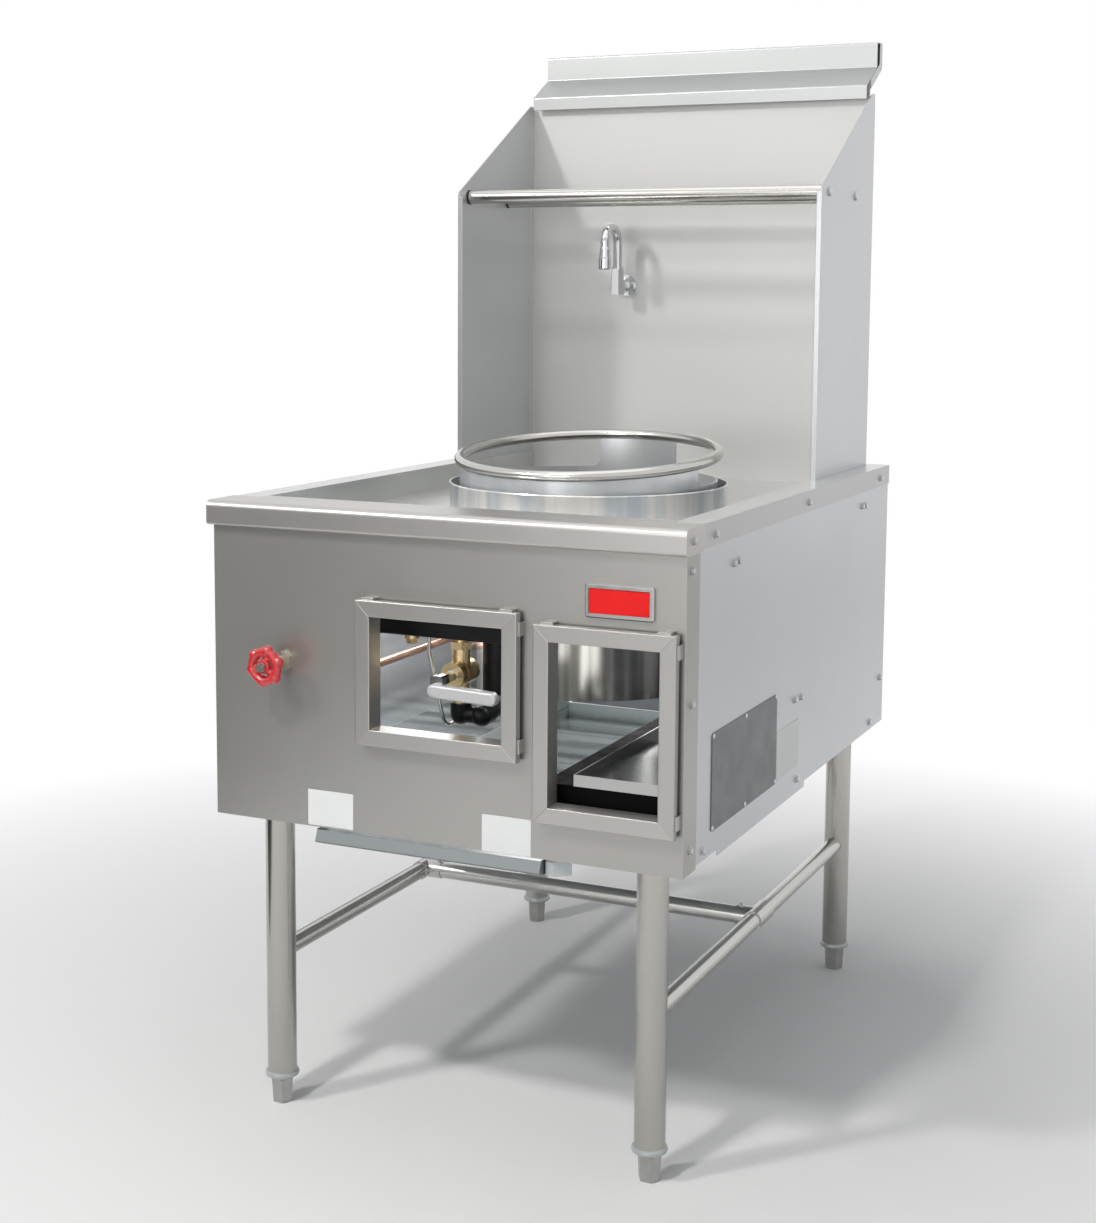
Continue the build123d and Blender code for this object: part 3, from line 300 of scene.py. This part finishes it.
PLATES = {
    "field": coated("badge_red", (0.78, 0.010, 0.010), 0.40, mottle=0.03, bumpy=0.02, specular=0.2),
    "bezel": coated("badge_bezel", (0.50, 0.50, 0.49), 0.20, mottle=0.03, scale=40, bumpy=0.02,
                    metal=0.95),
    "plate": coated("plate_grey", (0.165, 0.17, 0.175), 0.42, mottle=0.05, scale=30, bumpy=0.03,
                    metal=0.5),
    "paper": coated("label_paper", (0.72, 0.735, 0.73), 0.5, mottle=0.015, scale=40, bumpy=0.02),
}
MATERIALS = {**FRONT_SHEETS, **CABINET_SHEETS, **CHAMBER_SHEETS, **SPLASH_SHEETS, **TUBES, **TRAYS,
             **FITTINGS, **PLATES}

FRAMES = ["window_frame_left", "window_frame_right"]
FINISH = {
    "front": ["front_panel"],
    "nose": ["front_rim"],
    "frame": FRAMES,
    "side": ["side_panel_left", "side_panel_right"],
    "back": ["back_panel"],
    "deck": ["deck"],
    "collar": ["collar"],
    "ring": ["ring_skirt"],
    "drum": ["chamber_drum"],
    "heat": ["drum_shelves"],
    "refractory": ["chamber_lining"],
    "wall": ["splash_back"],
    "wings": ["splash_wings"],
    "guard": ["top_guard", "guard_back"],
    "tube": ["rack_tubes"],
    "hoop": ["ring_hoop"],
    "leg": ["legs"],
    "brace": ["side_tubes", "cross_tube", "brace_sleeves"],
    "foot": ["foot_front_left", "foot_front_right", "foot_back_left", "foot_back_right"],
    "zinc": ["tray_guide_left", "tray_guide_right", "leg_sockets", "leg_inserts", "manifold_hangers"],
    "plates": ["floor_plates"],
    "tray": ["drip_tray"],
    "bright": ["service_tray"],
    "box": ["service_box"],
    "chrome": ["faucet_body", "faucet_spout", "faucet_aerator", "gas_stem"],
    "brass": ["gas_valve_body", "manifold_plug", "burner_jets"],
    "copper": ["water_supply_pipe", "water_feed_pipe"],
    "pilot": ["pilot_tube"],
    "black": ["gas_manifold", "valve_elbows", "burner_pipe", "pilot_safety_valve", "gas_inlet_pipe"],
    "cast": ["burner_body"],
    "lever": ["gas_lever"],
    "red": ["handwheel"],
    "nickel": ["water_valve"],
    "nut": ["water_stem"],
    "screw": ["panel_screws", "rack_bolts"],
    "bezel": ["badge"],
    "plate": ["side_plate"],
}

for finish, nodes in FINISH.items():
    for node in nodes:
        slots = NODES[node].data.materials
        slots.clear()
        slots.append(MATERIALS[finish])


# ---- second finishes on some faces ----
FACING = 0.9                           # a face looks along an axis when its normal passes this
DECK_EDGE = 0.34                       # the deck's side faces lie beyond this, its tray's walls within
LIP_DEPTH = 0.002                      # the drip tray's lip is in front of this, its inside behind


def refinish(node, finish, test):
    """A second finish on the faces of a node whose middle and normal pass the test."""
    mesh = NODES[node].data
    mesh.materials.append(MATERIALS[finish])
    for face in mesh.polygons:
        if test(face.center, face.normal):
            face.material_index = len(mesh.materials) - 1


def on_upright(node):
    """A test for faces on a frame's uprights: nearer to a side edge than to the top or bottom."""
    low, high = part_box(node)
    middle, half = (low + high) / 2, (high - low) / 2

    def test(centre, normal):
        return half.x - abs(centre.x - middle.x) < half.z - abs(centre.z - middle.z)

    return test


refinish("deck", "skirt", lambda centre, normal: abs(normal.x) > FACING and abs(centre.x) > DECK_EDGE)
# The drip tray's lip keeps the darker painted-shade finish; its inside takes the banded floor plates.
refinish("drip_tray", "plates", lambda centre, normal: centre.y > PANEL_FACE + LIP_DEPTH)
# The wings' inner faces get the lighter copy: painted light.
refinish("splash_wings", "wing_inner",
         lambda centre, normal: abs(normal.x) > FACING and normal.x * centre.x < 0)
# Painted light and shade: the side panels' inner faces take the lighter, banded copy of their sheet.
refinish("side_panel_left", "inner", lambda centre, normal: normal.x > FACING)
refinish("side_panel_right", "inner", lambda centre, normal: normal.x < -FACING)
# Painted shade on the back panel's inside face.
refinish("back_panel", "shade", lambda centre, normal: normal.y < -FACING)
for node in FRAMES:
    refinish(node, "stile", on_upright(node))


# ---- ways to make a piece ----
def piece(name, mesh, finish, body="cabinet"):
    thing = bpy.data.objects.new(name, mesh)
    bpy.context.scene.collection.objects.link(thing)
    thing.data.materials.append(MATERIALS[finish])
    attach(thing, body)
    return thing


CORNER_POINTS = 7


def rounded_outline(width, height, corner):
    """The points of a rectangle with round corners, about its middle."""
    outline = []
    for side_x, side_y, start in ((1, 1, 0), (-1, 1, 90), (-1, -1, 180), (1, -1, 270)):
        for step in range(CORNER_POINTS):
            turn = radians(start + step * 90 / (CORNER_POINTS - 1))
            outline.append((side_x * (width / 2 - corner) + corner * cos(turn),
                            side_y * (height / 2 - corner) + corner * sin(turn)))
    return outline


def rounded_plate(name, centre, across, up, size, corner, thickness, crown=0.0):
    """A thin plate with round corners and a soft edge, crowned in its middle."""
    out = across.cross(up).normalized()
    width, height = size
    outline = rounded_outline(width, height, corner)
    straight, bevel = thickness * 0.7, thickness * 0.3
    rings = [(0.0, 0.0), (0.0, straight), (bevel, thickness), (corner * 0.8, thickness + crown)]
    mesh = bpy.data.meshes.new(name)
    work = bmesh.new()
    previous = None
    for inset, rise in rings:
        narrower, lower = 1 - 2 * inset / width, 1 - 2 * inset / height
        loop = [work.verts.new(centre + across * (x * narrower) + up * (y * lower) + out * rise)
                for x, y in outline]
        if previous:
            for i in range(len(loop)):
                j = (i + 1) % len(loop)
                work.faces.new((previous[i], previous[j], loop[j], loop[i]))
        else:
            work.faces.new(list(reversed(loop)))
        previous = loop
    work.faces.new(previous)
    work.to_mesh(mesh)
    work.free()
    for face in mesh.polygons:
        face.use_smooth = len(face.vertices) == 4
    return mesh


def turned(name, centre, axis, profile, sides=24):
    """A turned piece from (radius, height) points in metres, along an axis."""
    mesh = bpy.data.meshes.new(name)
    work = bmesh.new()
    tilt = axis.to_track_quat("Z", "Y").to_matrix()
    rings = []
    for radius, height in profile:
        ring = []
        for step in range(sides if radius > 0 else 1):
            turn = 2 * pi * step / sides
            local = Vector((radius * cos(turn), radius * sin(turn), height))
            ring.append(work.verts.new(centre + tilt @ local))
        rings.append(ring)
    for low, high in zip(rings, rings[1:]):
        for i in range(sides):
            j = (i + 1) % sides
            corners = [low[i % len(low)], low[j % len(low)], high[j % len(high)], high[i % len(high)]]
            work.faces.new(list(dict.fromkeys(corners)))
    work.to_mesh(mesh)
    work.free()
    for face in mesh.polygons:
        face.use_smooth = True
    return mesh


# ---- small pieces ----
SHEET_GAP = 0.00002                    # between a label's back and the sheet it is on
LABEL_CORNER, LABEL_THICKNESS = 0.002, 0.0003


def front_labels():
    """Two bare white labels at the front panel's lower edge."""
    low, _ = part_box("front_panel")
    width, height = 0.070, 0.049
    for name, x, lift in (("label_left", -0.16075, 0.002), ("label_right", 0.101, 0.0)):
        centre = Vector((x, low.y - SHEET_GAP, low.z + lift + height / 2))
        mesh = rounded_plate(name, centre, RIGHTWARD, UPWARD, (width, height), LABEL_CORNER, LABEL_THICKNESS)
        piece(name, mesh, "paper")


def side_label():
    """A bare sticker on the right side panel, just behind the plate."""
    _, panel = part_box("side_panel_right")
    low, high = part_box("side_plate")
    width, height = 0.102, 0.071
    gap, lift = 0.005, 0.0015
    centre = Vector((panel.x + SHEET_GAP, high.y + gap + width / 2, low.z + lift + height / 2))
    mesh = rounded_plate("side_label", centre, BACKWARD, UPWARD, (width, height), LABEL_CORNER,
                         LABEL_THICKNESS)
    piece("side_label", mesh, "paper")


def badge_field():
    """The badge's bare red field, on the floor of the bezel's recess."""
    low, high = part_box("badge")
    border, recess = 0.0055, 0.0026
    centre = (low + high) / 2
    centre.y = low.y + recess
    size = (high.x - low.x - 2 * border, high.z - low.z - 2 * border)
    mesh = rounded_plate("badge_field", centre, RIGHTWARD, UPWARD, size, corner=0.0015, thickness=0.0009,
                         crown=0.0004)
    piece("badge_field", mesh, "field")


def rear_shade_strip():
    """A strip below the back panel in the dark shade finish, which keeps daylight out of the right window: a
    painted shadow where the cabinet lies in shade.
    """
    low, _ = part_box("back_panel")
    inset, drop = 0.0006, 0.008
    centre = Vector((0, low.y + inset, low.z - drop))
    mesh = rounded_plate("rear_shade_strip", centre, RIGHTWARD, UPWARD, size=(0.460, 0.036), corner=0.003,
                         thickness=0.001)
    piece("rear_shade_strip", mesh, "shade")


def plate_rivets():
    """Six dome rivets that hold the side plate, by their distances from its front and lower edges."""
    low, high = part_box("side_plate")
    dome = [(0.0034, -0.0002), (0.0033, 0.0005), (0.0026, 0.0011), (0.0013, 0.0015), (0.0, 0.0016)]
    for row, up in enumerate((0.004, 0.1245)):
        for column, back in enumerate((0.0045, 0.1335, 0.263)):
            name = "plate_rivet_%d_%d" % (row, column)
            mesh = turned(name, Vector((high.x, low.y + back, low.z + up)), RIGHTWARD, dome)
            piece(name, mesh, "screw")


def tray_dimples():
    """Rows of small flat domes on the service tray's floor."""
    low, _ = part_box("service_tray")
    columns, rows, column_pitch, row_pitch = 8, 6, 0.008, 0.014
    first_row, floor_height = 0.120, 0.00145
    flattened = Matrix.Diagonal((0.0012, 0.0012, 0.0004, 1))
    mesh = bpy.data.meshes.new("tray_dimples")
    work = bmesh.new()
    for column in range(columns):
        for row in range(rows):
            place = low + Vector((column_pitch * column, first_row + row_pitch * row, floor_height))
            bmesh.ops.create_uvsphere(work, u_segments=12, v_segments=8, radius=1,
                                      matrix=Matrix.Translation(place) @ flattened)
    work.to_mesh(mesh)
    work.free()
    piece("tray_dimples", mesh, "chrome")


RACK_DEPTHS = (690, 836.5)             # the rack tubes' middles, in mm behind the front panel's face


def tube_ends():
    """The dark groove where each end of a rack tube meets a splash wing."""
    low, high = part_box("rack_tubes")
    overlap = 0.0001
    groove = [(0.0108, 0), (0.0118, 0), (0.0118, 0.0022), (0.0112, 0.0030), (0.0108, 0.0030)]
    for side in (-1, 1):
        for number, depth in enumerate(RACK_DEPTHS):
            name = "tube_end_%d_%d" % (side + 2, number)
            place = at(0, depth, 0) + Vector((side * (high.x + overlap), 0, (low.z + high.z) / 2))
            mesh = turned(name, place, -side * RIGHTWARD, groove, sides=40)
            piece(name, mesh, "black")


# ---- the handwheel ----
WHEEL_MIDDLE = at(-233, -44.6, 650)
FIRST_KNOB = 18                        # degrees from x to the middle of a knob, as on the CAD's wheel
KNOBS, SPOKES = 6, 3
KNOB_STEP = 360 / KNOBS                # degrees from one knob to the next
RIM_RADIUS, RIM_TUBE, RIM_DEPTH = 0.0195, 0.0062, 0.00682
RIM_STEPS, TUBE_STEPS = 72, 16
KNOB_REACH, KNOB_SIZE = 0.0208, (0.0082, 0.0074, 0.0082)
SPOKE_REACHES, SPOKE_SIZE = (0.008, 0.011, 0.014, 0.017), (0.0062, 0.0050, 0.0062)
HUB_RADIUS, HUB_LENGTH, HUB_SETBACK = 0.0095, 0.0142, 0.0002


def spread_from(degrees):
    """The direction away from the wheel's axis at a turn from x."""
    turn = radians(degrees)
    return Vector((cos(turn), 0, sin(turn)))


def wheel_rim(work):
    loops = []
    for step in range(RIM_STEPS):
        outward = spread_from(360 * step / RIM_STEPS)
        loop = []
        for part in range(TUBE_STEPS):
            angle = 2 * pi * part / TUBE_STEPS
            loop.append(work.verts.new(WHEEL_MIDDLE + outward * (RIM_RADIUS + RIM_TUBE * cos(angle))
                                       + BACKWARD * RIM_DEPTH * sin(angle)))
        loops.append(loop)
    for i in range(RIM_STEPS):
        for part in range(TUBE_STEPS):
            j, after = (i + 1) % RIM_STEPS, (part + 1) % TUBE_STEPS
            work.faces.new((loops[i][part], loops[i][after], loops[j][after], loops[j][part]))


def ball(work, place, size):
    matrix = Matrix.Translation(place) @ Matrix.Diagonal((*size, 1))
    bmesh.ops.create_uvsphere(work, u_segments=24, v_segments=16, radius=1, matrix=matrix)


def wheel_knobs(work):
    for knob in range(KNOBS):
        ball(work, WHEEL_MIDDLE + spread_from(FIRST_KNOB + KNOB_STEP * knob) * KNOB_REACH, KNOB_SIZE)


def wheel_spokes(work):
    """Each spoke is a row of overlapping balls towards every second knob."""
    for spoke in range(SPOKES):
        outward = spread_from(FIRST_KNOB + KNOB_STEP * (2 * spoke + 1))
        for reach in SPOKE_REACHES:
            ball(work, WHEEL_MIDDLE + outward * reach, SPOKE_SIZE)


def wheel_hub(work):
    matrix = Matrix.Translation(WHEEL_MIDDLE + BACKWARD * HUB_SETBACK) @ Matrix.Rotation(pi / 2, 4, "X")
    bmesh.ops.create_cone(work, cap_ends=True, segments=40, radius1=HUB_RADIUS, radius2=HUB_RADIUS,
                          depth=HUB_LENGTH, matrix=matrix)


def cast_wheel():
    """The handwheel as a casting: its rim, knobs, spokes and hub are run together into one skin."""
    mesh = bpy.data.meshes.new("cast_wheel")
    work = bmesh.new()
    wheel_rim(work)
    wheel_knobs(work)
    wheel_spokes(work)
    wheel_hub(work)
    bmesh.ops.recalc_face_normals(work, faces=work.faces)
    work.to_mesh(mesh)
    work.free()
    wheel = piece("cast_wheel", mesh, "red", "water_wheel")
    fuse = wheel.modifiers.new("fuse", "REMESH")
    fuse.mode = "VOXEL"
    fuse.voxel_size = 0.0007
    fuse.use_smooth_shade = True
    soften = wheel.modifiers.new("soften", "SMOOTH")
    soften.factor = 0.5
    soften.iterations = 8
    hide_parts("handwheel")


front_labels()
side_label()
badge_field()
rear_shade_strip()
plate_rivets()
tray_dimples()
tube_ends()
cast_wheel()


# ---- studio ----
FLOOR_HALF = 30                        # metres from the middle to the floor's edge
FLOOR_TONES = (0.93, 0.93, 0.93), (0.95, 0.95, 0.95)
FADE_START, FADE_END = 0.6, 1.9        # metres from the middle: floor up to one, plain white past the other


def floor():
    """A pale floor that keeps the shadow near the object and runs out to plain white."""
    mesh = bpy.data.meshes.new("floor")
    work = bmesh.new()
    bmesh.ops.create_grid(work, x_segments=2, y_segments=2, size=FLOOR_HALF)
    work.to_mesh(mesh)
    work.free()
    ground = bpy.data.objects.new("floor", mesh)
    bpy.context.scene.collection.objects.link(ground)
    paint = Paint("floor_paint", Roughness=0.9, Specular_IOR_Level=0.1)
    mottle = paint.noise(CLOUD_SCALE, detail=2.0)
    paint.link(paint.tint(mottle, *FLOOR_TONES), paint.shader.inputs["Base Color"])
    distance = paint.add("ShaderNodeVectorMath", operation="LENGTH")
    paint.link(paint.place, distance.inputs[0])
    far = paint.ranged(distance.outputs["Value"], 0, 1, FADE_START, FADE_END)
    white = paint.add("ShaderNodeEmission")
    mix = paint.add("ShaderNodeMixShader")
    paint.link(far, mix.inputs["Fac"])
    paint.link(paint.shader.outputs["BSDF"], mix.inputs[1])
    paint.link(white.outputs["Emission"], mix.inputs[2])
    paint.link(mix.outputs["Shader"], paint.output.inputs["Surface"])
    mesh.materials.append(paint.material)


FILL_COLOUR, FILL_STRENGTH = (0.96, 0.98, 1.0), 0.28


def world():
    """White where the camera, gloss and glass look, and a soft grey fill for matt surfaces."""
    space = bpy.data.worlds.new("studio")
    bpy.context.scene.world = space
    space.use_nodes = True
    tree = space.node_tree
    tree.nodes.clear()

    def background(colour, strength):
        node = tree.nodes.new("ShaderNodeBackground")
        node.inputs["Color"].default_value = (*colour, 1)
        node.inputs["Strength"].default_value = strength
        return node.outputs["Background"]

    def either(first, second):
        node = tree.nodes.new("ShaderNodeMath")
        node.operation = "MAXIMUM"
        tree.links.new(first, node.inputs[0])
        tree.links.new(second, node.inputs[1])
        return node.outputs["Value"]

    rays = tree.nodes.new("ShaderNodeLightPath").outputs
    seen = either(either(rays["Is Camera Ray"], rays["Is Glossy Ray"]), rays["Is Transmission Ray"])
    mix = tree.nodes.new("ShaderNodeMixShader")
    tree.links.new(seen, mix.inputs["Fac"])
    tree.links.new(background(FILL_COLOUR, FILL_STRENGTH), mix.inputs[1])
    tree.links.new(background((1, 1, 1), 1), mix.inputs[2])
    output = tree.nodes.new("ShaderNodeOutputWorld")
    tree.links.new(mix.outputs["Shader"], output.inputs["Surface"])


def lamp(name, place, target, size, power, colour=(1, 1, 1), spread=180):
    """An area lamp that the camera doesn't see."""
    data = bpy.data.lights.new(name, "AREA")
    data.shape = "RECTANGLE"
    data.size, data.size_y = size
    data.energy = power
    data.spread = radians(spread)
    data.color = colour
    thing = bpy.data.objects.new(name, data)
    thing.location = place
    thing.rotation_euler = (Vector(target) - Vector(place)).to_track_quat("-Z", "Y").to_euler()
    thing.visible_camera = False
    bpy.context.scene.collection.objects.link(thing)


WARM = (1.0, 0.985, 0.96)
SMALL_BOX = (0.4, 0.4)


def lamps():
    """Four studio lamps, and three small fills inside the cabinet, which the photograph shows lit."""
    lamp("left", (-2.1, -3.1, 3.25), target=(0, 0, 0.9), size=SMALL_BOX, power=57, colour=WARM)
    lamp("high", (-0.45, -3.1, 4.2), target=(-0.1, -0.474, 0.6), size=SMALL_BOX, power=3.4, colour=WARM,
         spread=40)
    lamp("top", (0.2, -0.2, 4.4), target=(0, 0, 0.8), size=(3.2, 3.2), power=24)
    lamp("front", (-0.3, -4.2, 1.3), target=(0, -0.4, 0.7), size=(1.4, 1.0), power=16)
    lamp("inside_front", (-0.02, -0.30, 0.80), target=(-0.02, -0.2, 0.4), size=(0.5, 0.08), power=1.2)
    lamp("inside_left", (-0.27, -0.02, 0.80), target=(-0.27, 0.0, 0.4), size=(0.1, 0.6), power=2.4)
    lamp("inside_under", (0.0, 0.02, 0.555), target=(0.0, 0.02, 0.4), size=(0.34, 0.34), power=0.8)


def card(name, corners, brightness):
    """A grey reflector that only shows in gloss, as a studio's flags do on polished sheet."""
    mesh = bpy.data.meshes.new(name)
    mesh.from_pydata(corners, [], [(0, 1, 2, 3)])
    thing = bpy.data.objects.new(name, mesh)
    bpy.context.scene.collection.objects.link(thing)
    for sight in ("camera", "diffuse", "transmission", "volume_scatter", "shadow"):
        setattr(thing, "visible_" + sight, False)
    paint = Paint(name)
    tone = paint.ranged(paint.noise(0.4, detail=1.0), brightness * 0.9, brightness * 1.1)
    glow = paint.add("ShaderNodeEmission")
    paint.link(tone, glow.inputs["Strength"])
    paint.link(glow.outputs["Emission"], paint.output.inputs["Surface"])
    mesh.materials.append(paint.material)


def cards():
    """Dark cards that the sheet mirrors: two on the floor and two upright."""
    low = 0.004
    card("front_ground", ((-7, -9, low), (-2.2, -9, low), (-0.95, -0.6, low), (-7, -0.6, low)), 0.04)
    card("front_wall", ((-9, -6.5, 0), (-3.2, -6.5, 0), (-3.2, -6.5, 1.9), (-9, -6.5, 1.9)), 0.04)
    card("right_ground", ((1.25, 1.6, low), (1.9, 5.5, low), (6, 5.5, low), (6, 1.6, low)), 0.45)
    card("left_wall", ((-2.4, -3.5, 0), (-2.4, 3.5, 0), (-2.4, 3.5, 1.1), (-2.4, -3.5, 1.1)), 0.12)


CAMERA_PLACE = (1.12877, -2.59164, 1.14873)
YAW, PITCH, ROLL = radians(24.654), radians(-6.436), radians(0.390)
SENSOR_WIDTH, LENS, SHIFT_UP = 36, 55.43, -0.0900


def camera():
    """The photograph's camera, solved from its straight edges."""
    ahead = Vector((-sin(YAW) * cos(PITCH), cos(YAW) * cos(PITCH), sin(PITCH)))
    right = Vector((cos(YAW), sin(YAW), 0))
    up = right.cross(ahead)
    rolled_right = right * cos(ROLL) + up * sin(ROLL)
    rolled_up = up * cos(ROLL) - right * sin(ROLL)
    data = bpy.data.cameras.new("camera")
    data.sensor_width = SENSOR_WIDTH
    data.lens = LENS
    data.shift_y = SHIFT_UP
    data.clip_start, data.clip_end = 0.05, 100
    thing = bpy.data.objects.new("camera", data)
    axes = Matrix((rolled_right, rolled_up, -ahead)).transposed().to_4x4()
    thing.matrix_world = Matrix.Translation(CAMERA_PLACE) @ axes
    bpy.context.scene.collection.objects.link(thing)
    bpy.context.scene.camera = thing


floor()
world()
lamps()
cards()
camera()
bpy.context.scene.view_settings.view_transform = "Standard"
